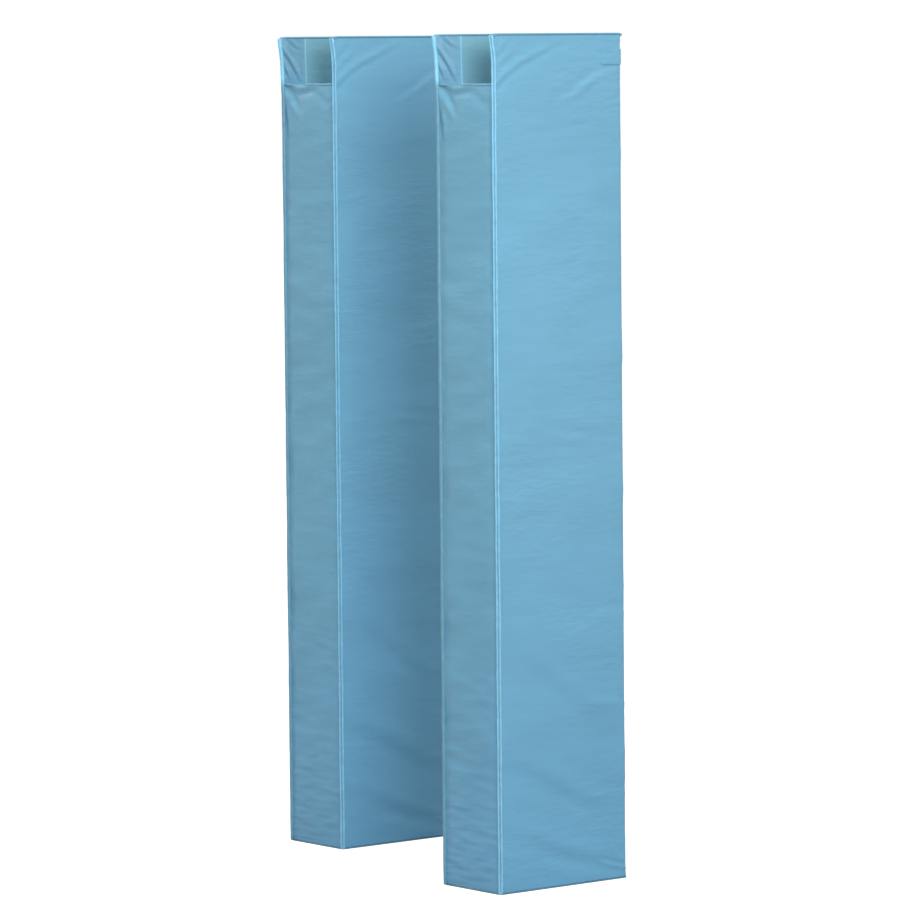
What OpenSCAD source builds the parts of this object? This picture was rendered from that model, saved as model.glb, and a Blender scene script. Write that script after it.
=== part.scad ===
// A pair of safety pads for volleyball posts. Each pad is three vinyl-covered foam panels: a narrow
// nose across the front of the post and two wider wings down its sides, hinged to the nose at the
// corners. Straps close the open back. The nose is shorter than the wings, which leaves a notch at
// the top for the net cables.

/* [Pad] */
// Height of a pad over its wings
pad_h = 1829; // [1500:1:2200]
// Width of the nose over both wings
nose_w = 188; // [160:1:260]
// Width of a wing, front to back
wing_w = 356; // [250:1:450]
// Depth of the cable notch above the nose
notch_h = 105; // [60:1:200]

/* [Padding] */
// Thickness of the foam board
foam_t = 34; // [20:1:45]
// Thickness of the vinyl cover
vinyl_t = 0.6; // [0.4:0.1:1.2]
// Slack between the foam and its cover
foam_slack = 0.2; // [0.1:0.05:0.4]
// Rounding of a wing's rear corners
end_r = 8; // [5:0.5:9]
// Gap along the mitre between the nose and a wing
mitre_gap = 0.5; // [0.3:0.1:1.5]

/* [Welts, seams and hems] */
// Radius of the welt down each front corner
welt_r = 3.5; // [2:0.1:5]
// Running gap round the welt
welt_gap = 0.3; // [0.2:0.05:0.6]
// Height of the welt's lower end above the floor
welt_lift = 1; // [0.5:0.1:3]
// Radius of the seam bead inside each front corner
seam_r = 1.2; // [0.8:0.1:2]
// Distance of the bead behind the inner corner
seam_back = 4; // [3:0.5:10]
// Height of a hem
hem_h = 4; // [2:0.5:8]
// How far a hem stands proud of the panel's faces
hem_over = 1; // [0.5:0.1:1.2]
// Length of the pinched ear at the front of a top hem
ear_l = 6; // [5:0.5:12]
// Width of that ear where it joins the hem
ear_w = 10; // [6:0.5:16]

/* [Straps] */
// Width of a strap
strap_w = 33; // [25:1:50]
// Thickness of a strap
strap_t = 1.5; // [1:0.1:2.5]
// Gap between a strap and the panel it lies on
strap_seat = 0.2; // [0.1:0.05:0.4]
// Gap between a strap and its sewn tail, along the bend
strap_clear = 0.5; // [0.4:0.05:0.8]
// Length of the top strap's sewn tail, on the wing's outer face
tail_l = 57; // [40:1:90]
// Distance of the top strap below the top of the wing
strap_drop = 35; // [25:1:90]
// Distance of the bottom strap above the floor
strap_rise = 35; // [25:1:90]
// Setback of the strap's free end from the wing's outer face
strap_back = 2; // [0:0.5:6]
// Rounding of the strap's free end
strap_end_r = 6; // [2:0.5:10]
// Length of the hook tape on a strap
hook_l = 26; // [20:1:40]
// Thickness of the hook tape and of the loop patch
tape_t = 1; // [0.6:0.1:1.5]
// Least gap between the hook tape and the loop patch as the left wing swings past
closure_clear = 0.4; // [0.3:0.1:1]
// How far a loop patch reaches past the strap, above and below
patch_margin = 3; // [1:0.5:8]
// Inset of the box stitching from a tail's edges
stitch_inset = 4; // [2:0.5:6]
// Width of the stitched line
stitch_w = 0.8; // [0.5:0.1:1.5]
// Height of the stitched line
stitch_t = 0.4; // [0.2:0.1:0.6]

/* [Pair] */
// Distance between the middles of the two pads, side to side
pad_spacing = 730; // [725:1:1200]
// How far the left pad stands behind the right one
pad_stagger = 140; // [130:1:300]

/* [Hidden] */
$fn = 48;
arc_steps = 6;
tiny = 0.01;

// Panels
panel_t = foam_t + 2 * (foam_slack + vinyl_t);
nose_h = pad_h - notch_h;
mitre_off = mitre_gap / sqrt(2);
corner_clear_r = welt_r + welt_gap;
// The left wing is a little narrower, so that its loop patches swing clear of the hook tapes
hook_face_y = wing_w + strap_seat - tape_t;
patch_face_y = sqrt(pow(hook_face_y - closure_clear, 2) - pow(panel_t - end_r, 2));
left_wing_w = patch_face_y - tape_t;

// Straps
strap_mid_y = wing_w + strap_seat + strap_t / 2;
strap_end_x = -nose_w / 2 + strap_back;
hinge_clear = strap_t / 2 + strap_clear;
outer_axis_x = nose_w / 2 - end_r;
inner_axis_x = nose_w / 2 - panel_t + end_r;
bend_r = end_r + strap_seat + strap_t / 2;
bend_stop = 90 + 2 * asin(hinge_clear / (2 * (bend_r - strap_t / 2)));
end_tail_l = outer_axis_x - inner_axis_x - hinge_clear;
top_strap_z = pad_h - strap_drop - strap_w / 2;
bottom_strap_z = strap_rise + strap_w / 2;
// Each strap's name, height and hinge line: the top one bends round the wing's outer corner, and the
// others start on the wing's rear end
STRAPS = [
    ["top", top_strap_z, outer_axis_x],
    ["middle", (top_strap_z + bottom_strap_z) / 2, inner_axis_x],
    ["bottom", bottom_strap_z, inner_axis_x]
];
TOP_STRAP = STRAPS[0];
END_STRAPS = [STRAPS[1], STRAPS[2]];

// Places of the pads, with the origin under the middle of the pair
front_reach = max(welt_r, ear_l);
rear_reach = wing_w + strap_seat + strap_t + stitch_t;
right_pad_y = front_reach - (front_reach + rear_reach + pad_stagger) / 2;
PADS = [
    ["left_pad", [-pad_spacing / 2, right_pad_y + pad_stagger, 0]],
    ["right_pad", [pad_spacing / 2, right_pad_y, 0]]
];

// Colours
VINYL = [0.47, 0.70, 0.82];
VINYL_SHADE = [0.42, 0.64, 0.77];
WELT = [0.52, 0.75, 0.86];
FOAM = [0.86, 0.84, 0.72];
TAPE = [0.36, 0.55, 0.66];
THREAD = [0.60, 0.80, 0.88];

// ---- Plans. In a wing's plan u runs inward from the outer face and v runs back from the corner.

// Points round an arc about [cu, cv]
function arc(cu, cv, r, from, to) =
    [for (i = [0 : arc_steps]) let (a = from + (to - from) * i / arc_steps)
        [cu + r * cos(a), cv + r * sin(a)]];

// Where the mitre crosses the line at u, with a wall of that thickness taken off it
function mitre_v(u, wall) = u + mitre_off + wall * sqrt(2);

// A wing's outline, drawn in by inset at its faces and by wall at its mitre
function wing_plan(width, inset, wall) =
    let (r = end_r - inset, inner = panel_t - inset, back = width - inset)
    concat(
        [[inset, mitre_v(inset, wall)], [inner, mitre_v(inner, wall)]],
        arc(inner - r, back - r, r, 0, 90),
        arc(inset + r, back - r, r, 90, 180)
    );

// A top hem's outline: the wing's, with an ear pinched forward at the outer corner
function top_hem_plan(width) =
    let (plan = wing_plan(width, -hem_over, 0))
    concat(
        [[-hem_over, -ear_l], [ear_w, mitre_v(ear_w, 0)]],
        [for (i = [1 : len(plan) - 1]) plan[i]]
    );

// The nose's outline, mitred at both ends
function nose_plan(inset, wall) =
    let (front = nose_w / 2 - mitre_v(inset, wall), rear = nose_w / 2 - mitre_v(panel_t - inset, wall))
    [[-front, inset], [front, inset], [rear, panel_t - inset], [-rear, panel_t - inset]];

// ---- Placing

module on_wing(side) {
    if (side == "left") translate([-nose_w / 2, 0, 0]) children();
    if (side == "right") translate([nose_w / 2, 0, 0]) mirror([1, 0, 0]) children();
}

function width_of(side) = side == "left" ? left_wing_w : wing_w;

// ---- Panels

// A slab of the nose's outline, cut clear of both welts
module nose_slab(inset, wall, z0, z1) {
    difference() {
        translate([0, 0, z0]) linear_extrude(z1 - z0) polygon(nose_plan(inset, wall));
        for (x = [-nose_w / 2, nose_w / 2])
            translate([x, 0, z0 - 1]) cylinder(r = corner_clear_r + wall, h = z1 - z0 + 2);
    }
}

// A slab of a wing's outline, cut clear of its welt
module wing_slab(width, inset, wall, z0, z1) {
    difference() {
        translate([0, 0, z0]) linear_extrude(z1 - z0) polygon(wing_plan(width, inset, wall));
        translate([0, 0, z0 - 1]) cylinder(r = corner_clear_r + wall, h = z1 - z0 + 2);
    }
}

module nose_foam() {
    gap = vinyl_t + foam_slack;
    color(FOAM) nose_slab(gap, gap, hem_h + gap, nose_h - hem_h - gap);
}

module nose_cover() {
    color(VINYL) difference() {
        nose_slab(0, 0, hem_h, nose_h - hem_h);
        nose_slab(vinyl_t, vinyl_t, hem_h + vinyl_t, nose_h - hem_h - vinyl_t);
    }
}

module nose_top_hem() {
    color(VINYL_SHADE) nose_slab(-hem_over, 0, nose_h - hem_h, nose_h);
}

module nose_bottom_hem() {
    color(VINYL_SHADE) nose_slab(-hem_over, 0, 0, hem_h);
}

module wing_foam(width) {
    gap = vinyl_t + foam_slack;
    color(FOAM) wing_slab(width, gap, gap, hem_h + gap, pad_h - hem_h - gap);
}

module wing_cover(width) {
    color(VINYL) difference() {
        wing_slab(width, 0, 0, hem_h, pad_h - hem_h);
        wing_slab(width, vinyl_t, vinyl_t, hem_h + vinyl_t, pad_h - hem_h - vinyl_t);
    }
}

module wing_top_hem(width) {
    color(VINYL_SHADE) translate([0, 0, pad_h - hem_h]) linear_extrude(hem_h) polygon(top_hem_plan(width));
}

module wing_bottom_hem(width) {
    color(VINYL_SHADE) wing_slab(width, -hem_over, 0, 0, hem_h);
}

// The welt is round about the corner's hinge axis
module corner_welt() {
    color(WELT) translate([0, 0, welt_lift]) cylinder(r = welt_r, h = pad_h - hem_h - welt_lift);
}

// A half-round bead on the wing's inner face
module inner_seam() {
    color(WELT) translate([panel_t, mitre_v(panel_t, 0) + seam_back, hem_h]) intersection() {
        cylinder(r = seam_r, h = pad_h - 2 * hem_h);
        translate([0, -2 * seam_r, 0]) cube([2 * seam_r, 4 * seam_r, pad_h - 2 * hem_h]);
    }
}

// ---- Straps

// The top strap's tail: flat on the right wing's outer face, then round its rear corner
module outer_tail() {
    translate([-strap_seat - strap_t, wing_w - tail_l, 0]) cube([strap_t, tail_l - end_r + tiny, strap_w]);
    translate([end_r, wing_w - end_r, 0]) intersection() {
        difference() {
            cylinder(r = bend_r + strap_t / 2, h = strap_w);
            translate([0, 0, -1]) cylinder(r = bend_r - strap_t / 2, h = strap_w + 2);
        }
        linear_extrude(strap_w)
            polygon(concat([[0, 0]], arc(0, 0, 2 * (bend_r + strap_t), bend_stop, 180)));
    }
}

// The other straps' tails lie on the right wing's rear end
module end_tail() {
    translate([end_r, wing_w + strap_seat, 0]) cube([end_tail_l, strap_t, strap_w]);
}

module strap_tails() {
    color(VINYL_SHADE) {
        translate([0, 0, TOP_STRAP[1] - strap_w / 2]) outer_tail();
        for (strap = END_STRAPS) translate([0, 0, strap[1] - strap_w / 2]) end_tail();
    }
}

// A raised rectangle of stitching, length by width
module stitched_box(length, width) {
    difference() {
        cube([stitch_t, length, width]);
        translate([-1, stitch_w, stitch_w])
            cube([stitch_t + 2, length - 2 * stitch_w, width - 2 * stitch_w]);
    }
}

// The stitched box on each tail
module tail_stitching() {
    box_w = strap_w - 2 * stitch_inset;
    outer_x = -strap_seat - strap_t - stitch_t;
    end_y = wing_w + strap_seat + strap_t + stitch_t;
    color(THREAD) {
        translate([outer_x, wing_w - tail_l + stitch_inset, TOP_STRAP[1] - box_w / 2])
            stitched_box(tail_l - end_r - 2 * stitch_inset, box_w);
        for (strap = END_STRAPS)
            translate([end_r + stitch_inset, end_y, strap[1] - box_w / 2]) rotate([0, 0, -90])
                stitched_box(end_tail_l - 2 * stitch_inset, box_w);
    }
}

// A strap across the open back, with a round end on its hinge line
module strap(z, axis_x) {
    color(VINYL_SHADE) translate([0, strap_mid_y, z]) {
        translate([axis_x, 0, -strap_w / 2]) cylinder(r = strap_t / 2, h = strap_w);
        translate([0, strap_t / 2, 0]) rotate([90, 0, 0]) linear_extrude(strap_t) polygon(concat(
            [[axis_x, -strap_w / 2], [axis_x, strap_w / 2]],
            arc(strap_end_x + strap_end_r, strap_w / 2 - strap_end_r, strap_end_r, 90, 180),
            arc(strap_end_x + strap_end_r, strap_end_r - strap_w / 2, strap_end_r, 180, 270)
        ));
    }
}

// Hook tape on the strap's inner face, over the left wing's rear end
module hook_tape(z) {
    color(TAPE) translate([strap_end_x + strap_end_r, hook_face_y, z - strap_w / 2])
        cube([hook_l, tape_t, strap_w]);
}

// Loop patches on the left wing's rear end, one under each hook tape
module loop_patches() {
    color(TAPE) for (strap = STRAPS)
        translate([-nose_w / 2 + end_r, left_wing_w, strap[1] - strap_w / 2 - patch_margin])
            cube([panel_t - 2 * end_r, tape_t, strap_w + 2 * patch_margin]);
}

// ---- Both pads, node by node

for (pad = PADS) translate(pad[1]) {
    nose_foam();
    nose_cover();
    nose_top_hem();
    nose_bottom_hem();
    for (side = ["left", "right"]) on_wing(side) {
        name = str(pad[0], "_", side);
        wing_foam(width_of(side));
        wing_cover(width_of(side));
        wing_top_hem(width_of(side));
        wing_bottom_hem(width_of(side));
        corner_welt();
        inner_seam();
    }
    loop_patches();
    on_wing("right") strap_tails();
    on_wing("right") tail_stitching();
    for (s = STRAPS) {
        strap(s[1], s[2]);
        hook_tape(s[1]);
    }
}
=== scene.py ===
"""A pair of padded sleeves for volleyball posts.

Each pad is three vinyl-covered foam panels: a narrow nose across the front of the post and a wing
down each side. The wings turn on the welts at the corners, and straps close the open back. Every
piece is made once, at the middle of the floor, and copied to its place on both pads.
"""

import math

import bmesh
import bpy
import numpy as np
from mathutils import Euler, Matrix, Vector, noise


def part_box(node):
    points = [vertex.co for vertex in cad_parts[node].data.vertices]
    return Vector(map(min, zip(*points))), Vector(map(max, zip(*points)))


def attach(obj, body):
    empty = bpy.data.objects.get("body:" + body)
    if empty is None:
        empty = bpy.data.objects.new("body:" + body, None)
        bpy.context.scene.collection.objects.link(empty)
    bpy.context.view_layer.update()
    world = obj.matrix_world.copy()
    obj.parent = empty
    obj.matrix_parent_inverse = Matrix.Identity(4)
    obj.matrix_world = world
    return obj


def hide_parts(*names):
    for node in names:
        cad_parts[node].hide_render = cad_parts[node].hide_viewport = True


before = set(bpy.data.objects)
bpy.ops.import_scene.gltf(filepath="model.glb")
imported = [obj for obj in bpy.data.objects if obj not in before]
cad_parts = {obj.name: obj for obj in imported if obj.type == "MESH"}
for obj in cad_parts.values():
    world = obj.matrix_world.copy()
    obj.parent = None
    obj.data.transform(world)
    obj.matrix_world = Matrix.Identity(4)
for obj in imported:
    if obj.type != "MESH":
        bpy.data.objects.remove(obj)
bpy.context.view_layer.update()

# ---------------------------------------------------------------- sizes, in metres

MM = 0.001
NEAR = 0.05 * MM
PADS = ["left_pad", "right_pad"]
SIDES = {"left": -1, "right": 1}
STRAPS = ["top", "middle", "bottom"]


def place_of(pad):
    """The middle of the front of a pad's nose, on the floor."""
    low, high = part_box(f"{pad}_nose_cover")
    return Vector(((low.x + high.x) / 2, low.y, 0))


def local_box(node):
    """A node's box on the right pad, measured from that pad's own place."""
    low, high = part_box(f"right_pad_{node}")
    return low - place_of("right_pad"), high - place_of("right_pad")


HEM_H = local_box("nose_bottom_hem")[1].z
NOSE_H = local_box("nose_top_hem")[1].z
PAD_H = local_box("right_wing_top_hem")[1].z
PANEL_T = local_box("nose_cover")[1].y
HALF_W = local_box("right_wing_cover")[1].x
WING_W = {side: local_box(f"{side}_wing_cover")[1].y for side in SIDES}
HEM_OVER = local_box("right_wing_top_hem")[1].x - HALF_W
EAR_L = -local_box("right_wing_top_hem")[0].y
WELT_LOW, WELT_HIGH = local_box("right_corner_welt")
WELT_R = (WELT_HIGH.x - WELT_LOW.x) / 2
SEAM_LOW, SEAM_HIGH = local_box("right_inner_seam")
SEAM_R = SEAM_HIGH.x - SEAM_LOW.x
TOP_STRAP_LOW, TOP_STRAP_HIGH = local_box("top_strap")
END_R = 8 * MM
MITRE_OFF = 0.35 * MM
MITRE_TURN = math.sqrt(0.5)
FRONT = Vector((0, -1, 0))
REAR = Vector((0, 1, 0))
UP = Vector((0, 0, 1))


# ---------------------------------------------------------------- modelling by hand


def clear_selection():
    bpy.ops.object.select_all(action="DESELECT")


def choose(piece):
    """Makes a piece the only one selected, and active."""
    clear_selection()
    piece.select_set(True)
    bpy.context.view_layer.objects.active = piece


def start_editing(piece):
    """Opens one piece in edit mode."""
    choose(piece)
    bpy.ops.object.mode_set(mode="EDIT")


def stop_editing():
    bpy.ops.object.mode_set(mode="OBJECT")


def settle_place(piece):
    """Puts a piece's place, turn and scale into its mesh."""
    choose(piece)
    bpy.ops.object.transform_apply(location=True, rotation=True, scale=True)


def name_piece(piece, name):
    piece.name = name
    piece.data.name = name
    return piece


def add_block(name, low, high):
    """A box from its lowest to its highest corner."""
    low, high = Vector(low), Vector(high)
    clear_selection()
    bpy.ops.mesh.primitive_cube_add(size=1, location=(low + high) / 2)
    block = name_piece(bpy.context.object, name)
    block.scale = high - low
    settle_place(block)
    return block


def pick(piece, kind, wanted):
    """In edit mode, selects only the vertices, edges or faces that are wanted."""
    bpy.ops.mesh.select_mode(type=kind)
    bpy.ops.mesh.select_all(action="DESELECT")
    mesh = bmesh.from_edit_mesh(piece.data)
    parts = {"VERT": mesh.verts, "EDGE": mesh.edges, "FACE": mesh.faces}[kind]
    for part in parts:
        if wanted(part):
            part.select_set(True)
    mesh.select_flush_mode()
    bmesh.update_edit_mesh(piece.data)


def runs_along(edge, axis):
    """True if an edge runs along x, y or z, which are 0, 1 and 2."""
    along = edge.verts[1].co - edge.verts[0].co
    return abs(along[axis]) > 0.98 * along.length


def lies_at(edge, *heights):
    """True if both ends of an edge are at one of the heights."""
    return any(all(at(v.co.z, height) for v in edge.verts) for height in heights)


def borders_flat(edge, axis):
    """True where a face that is square to an axis meets one that isn't."""
    flat = [abs(face.normal[axis]) > 0.9 for face in edge.link_faces]
    return any(flat) and not all(flat)


def cut_across(piece, axis, pieces):
    """Cuts a block into so many equal pieces along an axis."""
    pick(piece, "EDGE", lambda edge: runs_along(edge, axis))
    bpy.ops.mesh.subdivide(number_cuts=pieces - 1)


def round_edges(piece, wanted, radius, steps):
    """Rounds the wanted edges."""
    pick(piece, "EDGE", wanted)
    bpy.ops.mesh.bevel(offset=radius, segments=steps, affect="EDGES", clamp_overlap=False)


def at(value, target):
    return abs(value - target) < NEAR


def smooth(piece, degrees=40):
    choose(piece)
    bpy.ops.object.shade_smooth_by_angle(angle=math.radians(degrees))


def points_of(piece):
    """A piece's vertices, as an array."""
    found = np.zeros(len(piece.data.vertices) * 3)
    piece.data.vertices.foreach_get("co", found)
    return found.reshape(-1, 3)


def put_points(piece, points):
    piece.data.vertices.foreach_set("co", points.astype(np.float32).ravel())
    piece.data.update()


def normals_of(piece):
    found = np.zeros(len(piece.data.vertices) * 3)
    piece.data.vertices.foreach_get("normal", found)
    return found.reshape(-1, 3)


def ease(t):
    """A soft step from 0 to 1."""
    t = np.clip(t, 0, 1)
    return t * t * (3 - 2 * t)


def bell(value, middle, width, power=2):
    """1 in the middle, and less and less on both sides."""
    return np.exp(-(((value - middle) / width) ** power))


# ---------------------------------------------------------------- slabs of the panels' plans

WING_LAYERS = 8
NOSE_LAYERS = 4


def mitre_y(depth):
    """How far behind the corner the mitre is, at a depth in from the outer face."""
    return depth + MITRE_OFF


def add_wing_slab(name, side, low_z, high_z, proud, columns, rows):
    """A slab of a wing's plan: mitred at the front, with round corners at the rear."""
    way = SIDES[side]
    outer = way * (HALF_W + proud)
    inner = way * (HALF_W - PANEL_T - proud)
    rear = WING_W[side] + proud
    slab = add_block(name, (min(outer, inner), 0, low_z), (max(outer, inner), rear, high_z))
    start_editing(slab)
    cut_across(slab, 0, WING_LAYERS)
    cut_across(slab, 1, columns)
    cut_across(slab, 2, rows)
    for layer in range(WING_LAYERS + 1):
        depth = (PANEL_T + 2 * proud) * layer / WING_LAYERS - proud
        x = way * (HALF_W - depth)
        pick(slab, "VERT", lambda v: at(v.co.x, x))
        shorter = 1 - mitre_y(depth) / rear
        bpy.ops.transform.resize(value=(1, shorter, 1), center_override=(0, rear, 0))

    def on_rear_corner(edge):
        ends = [v.co for v in edge.verts]
        sides = all(at(v.x, outer) or at(v.x, inner) for v in ends)
        return runs_along(edge, 2) and sides and all(at(v.y, rear) for v in ends)

    round_edges(slab, on_rear_corner, END_R + proud, 3)
    stop_editing()
    return slab


def add_nose_slab(name, low_z, high_z, proud, columns, rows):
    """A slab of the nose's plan, mitred at both ends and clear of the welts."""
    half = HALF_W + proud - MITRE_OFF
    slab = add_block(name, (-half, -proud, low_z), (half, PANEL_T + proud, high_z))
    start_editing(slab)
    cut_across(slab, 0, columns)
    cut_across(slab, 1, NOSE_LAYERS)
    cut_across(slab, 2, rows)
    for layer in range(NOSE_LAYERS + 1):
        y = (PANEL_T + 2 * proud) * layer / NOSE_LAYERS - proud
        pick(slab, "VERT", lambda v: at(v.co.y, y))
        narrower = (HALF_W - mitre_y(y)) / half
        bpy.ops.transform.resize(value=(narrower, 1, 1), center_override=(0, 0, 0))

    def on_front_corner(edge):
        ends = [v.co for v in edge.verts]
        tip = HALF_W - mitre_y(-proud)
        return runs_along(edge, 2) and all(at(v.y, -proud) and at(abs(v.x), tip) for v in ends)

    round_edges(slab, on_front_corner, WELT_R + 1 * MM + proud, 3)
    stop_editing()
    return slab


# ---------------------------------------------------------------- the padded panels

# The size of a panel's faces before it is refined, and the frames that its cover takes to swell. Then
# how far the cover may stand out or sink, and how far it is held at its rims and at its rear end.

GRID = 10 * MM
NOSE_GRID = 7 * MM
FRAMES = 20
PUFF = 2.2 * MM
DENT = 1.2 * MM
RIM_FADE = 30 * MM
REAR_HELD = 9 * MM


def grain(points, size, seed):
    """Noise from about -1 to 1 at each point, with bumps of the given size along x, y and z."""
    scale = 1 / np.array(size)
    return np.array([noise.noise(Vector(p * scale) + Vector((seed, 0, 0))) for p in points])


def swell(panel, free):
    """Fills a panel like a stuffed cover: cloth under pressure, held where free is 0."""
    choose(panel)
    held = panel.vertex_groups.new(name="held")
    for index, share in enumerate(free):
        held.add([index], float(1 - share), "REPLACE")
    cloth = panel.modifiers.new("cover", "CLOTH")
    cloth.settings.quality = 6
    cloth.settings.mass = 0.4
    cloth.settings.tension_stiffness = 25
    cloth.settings.compression_stiffness = 25
    cloth.settings.shear_stiffness = 12
    cloth.settings.bending_stiffness = 2
    cloth.settings.vertex_group_mass = "held"
    cloth.settings.use_pressure = True
    cloth.settings.uniform_pressure_force = 4
    cloth.settings.shrink_min = -0.012
    cloth.settings.effector_weights.gravity = 0
    cloth.collision_settings.use_collision = False
    cloth.point_cache.frame_start = 1
    cloth.point_cache.frame_end = FRAMES
    scene = bpy.context.scene
    for number in range(1, FRAMES + 1):
        scene.frame_set(number)
    bpy.ops.object.modifier_apply(modifier="cover")
    scene.frame_set(1)
    panel.vertex_groups.clear()


def fill_cover(panel, free):
    """Swells a panel, then keeps each point within the slack that the cover has on its foam."""
    before = points_of(panel)
    outward = normals_of(panel)
    swell(panel, free)
    moved = points_of(panel) - before
    out = np.sum(moved * outward, axis=1)
    aside = moved - out[:, None] * outward
    out = np.where(out > 0, PUFF * np.tanh(out / PUFF), DENT * np.tanh(out / DENT))
    aside = np.clip(aside, -1 * MM, 1 * MM)
    put_points(panel, before + free[:, None] * (out[:, None] * outward + aside))


def refine(panel):
    """One smooth subdivision."""
    choose(panel)
    finer = panel.modifiers.new("finer", "SUBSURF")
    finer.levels = 1
    finer.render_levels = 1
    bpy.ops.object.modifier_apply(modifier="finer")


def refine_where(panel, wanted):
    """Cuts the wanted faces once more, for the finest folds."""
    start_editing(panel)
    pick(panel, "FACE", wanted)
    bpy.ops.mesh.subdivide(number_cuts=1)
    stop_editing()


def crease_rims(panel, low_z, high_z):
    """Keeps a panel's upper and lower rims crisp when it is refined."""
    start_editing(panel)
    pick(panel, "EDGE", lambda edge: lies_at(edge, low_z, high_z) and borders_flat(edge, 2))
    bpy.ops.transform.edge_crease(value=0.7)
    stop_editing()


def push(panel, amount, way):
    """Moves each point by its amount, along one direction or along its own normal."""
    put_points(panel, points_of(panel) + amount[:, None] * np.array(way))


def facing(panel, way, least=0.6):
    """How much each point faces a direction, from 0 to 1."""
    return ease((normals_of(panel) @ np.array(way) - least) / (1 - least) * 2)


def fold(panel, path, way, width, height, valley=0.7, start=0.0, end=0.0):
    """A ridge along a path on the face that faces way, with a valley on the path's right.

    Start and end are the shares of the height that the ridge keeps at its two ends."""
    points = points_of(panel)
    way = np.array(way, float)
    path = np.array(path, float)
    lengths = np.linalg.norm(np.diff(path, axis=0), axis=1)
    total = lengths.sum()
    nearest = np.full(len(points), 1e9)
    across = np.zeros(len(points))
    along = np.zeros(len(points))
    passed = 0.0
    for first, last, length in zip(path[:-1], path[1:], lengths):
        run = (last - first) / length
        right = np.cross(run, way)
        offset = points - first
        share = np.clip(offset @ run, 0, length)
        gap = np.hypot(offset @ right, (offset @ run) - share)
        closer = gap < nearest
        nearest = np.where(closer, gap, nearest)
        across = np.where(closer, offset @ right, across)
        along = np.where(closer, (passed + share) / total, along)
        passed += length
    body = np.sin(np.pi * np.clip(along, 0, 1)) ** 0.7
    keep = np.maximum(body, np.where(along < 0.5, start, end))
    trough = bell(across, 1.4 * width, width) * (nearest < 4 * width)
    near_path = bell(nearest, 0, 3 * width, 4)
    amount = height * keep * (bell(nearest, 0, width) - valley * trough * near_path)
    push(panel, amount * facing(panel, way), way)


# The folds are placed by how far back from the corner and how far below the top they are, in mm.
# Each has its path, its width, its height, and the share of the height that its two ends keep.


def wing_path(side, *points):
    """Points on a wing's outer face, turned round on the left wing so that valleys stay below."""
    x = SIDES[side] * HALF_W
    path = [(x, back * MM, PAD_H - below * MM) for back, below in points]
    return path if side == "right" else path[::-1]


def nose_path(*points):
    """Points on the nose's front, from its middle and below the nose's top."""
    return [(aside * MM, 0, NOSE_H - below * MM) for aside, below in points]


def drag_folds(panel, side):
    """The pulls across a wing's outer face, from the notch, the strap's tail and the foam's joint."""
    out = (SIDES[side], 0, 0)
    pulls = [
        ([(4, 106), (37, 80), (77, 58), (140, 33), (178, 16)], 8, 1.9, 0.9, 0.3),
        ([(6, 72), (34, 50), (60, 30)], 8, 0.9, 0.6, 0.2),
        ([(3, 44), (22, 26), (40, 10)], 7, 0.8, 0.7, 0.4),
        ([(344, 78), (277, 97), (220, 132), (165, 156)], 10, 1.7, 0.8, 0.0),
        ([(90, 192), (150, 193)], 5, 0.9, 0.2, 0.2),
        ([(205, 184), (262, 182)], 5, 0.9, 0.2, 0.2),
        ([(25, 873), (90, 870)], 5, 1.4, 0.6, 0.0),
        ([(20, 893), (95, 889)], 5, 1.5, 0.7, 0.0),
        ([(10, 909), (210, 905)], 6, 1.2, 0.3, 0.0),
        ([(350, 884), (250, 868), (120, 852)], 9, 1.8, 0.5, 0.0),
        ([(110, 1078), (195, 1090)], 8, 1.2, 0.1, 0.1),
        ([(350, 1250), (300, 1247), (250, 1250)], 8, 1.8, 0.9, 0.0),
        ([(350, 1446), (295, 1440), (240, 1436)], 8, 2.2, 0.9, 0.0),
        ([(350, 1642), (300, 1638), (230, 1640)], 8, 1.8, 0.9, 0.0),
        ([(60, 1299), (120, 1339), (203, 1400), (320, 1473)], 24, 2.5, 0.1, 0.3),
        ([(6, 1530), (60, 1543), (131, 1573), (223, 1624), (330, 1669)], 24, 3.0, 0.5, 0.3),
        ([(6, 1679), (94, 1703), (203, 1750), (317, 1782)], 20, 2.3, 0.6, 0.4),
        ([(352, 1806), (315, 1797), (270, 1784)], 5, 2.4, 1.0, 0.0),
        ([(350, 1796), (322, 1770), (290, 1730)], 8, 1.0, 0.8, 0.0),
    ]
    for path, width, height, start, end in pulls:
        ends = (start, end) if side == "right" else (end, start)
        fold(panel, wing_path(side, *path), out, width * MM, height * MM, 0.8, *ends)


def sag_at_foot(panel, side):
    """The cover's slack, lying in a low arch above the bottom hem and pinched at the rear corner."""
    rear = WING_W[side] / MM
    low = PAD_H / MM
    arch = [(25, low - 58), (120, low - 68), (220, low - 50), (rear - 26, low - 24), (rear, low - 15)]
    fold(panel, wing_path(side, *arch), (SIDES[side], 0, 0), 16 * MM, -1.2 * MM, 0.5, 0.2, 1.0)


def crinkles(panel, way, low_z, high_z, height, size, seed):
    """Fine level creases, strongest between two heights, on the face that faces way."""
    points = points_of(panel)
    band = bell(points[:, 2], (low_z + high_z) / 2, (high_z - low_z) / 2, 4)
    faces = facing(panel, way)
    chosen = np.where(band * faces > 0.01)[0]
    amount = np.zeros(len(points))
    amount[chosen] = grain(points[chosen], size, seed)
    push(panel, height * amount * band * faces, way)


def puckers(panel, way, axis, seam, reach, height, size, seed):
    """Short gathers that fade with the distance from a seam, on the face that faces way."""
    points = points_of(panel)
    away = np.abs(points[:, axis] - seam)
    fade = np.exp(-away / reach) * facing(panel, way)
    chosen = np.where(fade > 0.02)[0]
    slanted = points[chosen].copy()
    slanted[:, 2] += 0.35 * away[chosen]
    amount = np.zeros(len(points))
    amount[chosen] = grain(slanted, size, seed)
    push(panel, height * amount * fade, way)


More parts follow.
